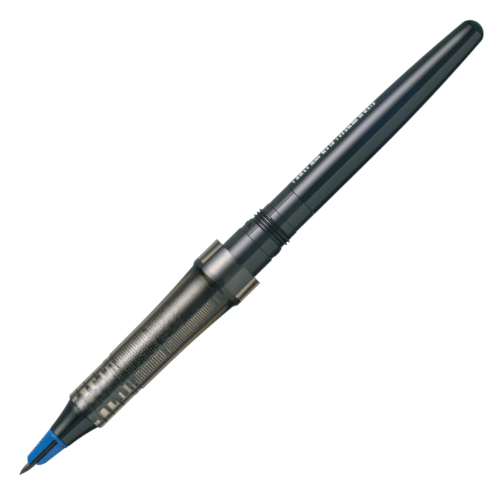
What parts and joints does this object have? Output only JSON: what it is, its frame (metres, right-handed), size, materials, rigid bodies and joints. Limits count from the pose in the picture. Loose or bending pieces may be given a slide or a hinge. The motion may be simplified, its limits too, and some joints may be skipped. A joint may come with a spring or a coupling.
{
  "type": "calligraphy marker refill",
  "caption": "Nib pen writing unit: flexible blade between blue wings, clear grip over a finned ink collector, threaded connector and long ink tank.",
  "frame": {"origin": "on the pen's axis, in the plane of the collar's rear face, where the barrel seats and its spigot starts", "axes": "+X along the pen towards the tank, +Y towards the longer blue wing, +Z square to the nib blade's face"},
  "size_m": [0.125, 0.012, 0.012],
  "materials": {
    "nib_plastic": "dark grey moulded resin, satin",
    "wing_blue": "bright blue gloss",
    "black_gloss": "black gloss moulding",
    "smoked_clear": "smoked brown-grey clear plastic, polished",
    "comb_black": "black moulding, satin",
    "feed_fibre": "bonded fibre, stained with ink",
    "seal_rubber": "black rubber",
    "tube_plastic": "natural plastic",
    "tank_dark": "dark smoke gloss",
    "ink": "blue-black liquid"
  },
  "bodies": {
    "grip_unit": {"nib_holder": "wing_blue", "nib_feed": "feed_fibre", "nose_cone": "black_gloss", "grip_sleeve": "smoked_clear", "nib_carrier": "comb_black", "ink_collector": "comb_black", "feed_wick": "feed_fibre", "collector_seal": "seal_rubber", "connector": "black_gloss", "tank_seal": "seal_rubber", "ink_tube": "tube_plastic"},
    "nib": {"nib_blade": "nib_plastic"},
    "tank": {"tank": "tank_dark", "ink_charge": "ink"}
  },
  "joints": [
    {"name": "nib_flex", "type": "hinge", "parent": "grip_unit", "child": "nib", "pos_m": [-0.0495, 0, 0], "axis": [0, 1, 0], "range_deg": [-2.5, 2.5], "stiffness_Nm_per_rad": 0.1},
    {"name": "tank_pull", "type": "slide", "parent": "grip_unit", "child": "tank", "axis": [1, 0, 0], "range_m": [0, 0.012]}
  ]
}
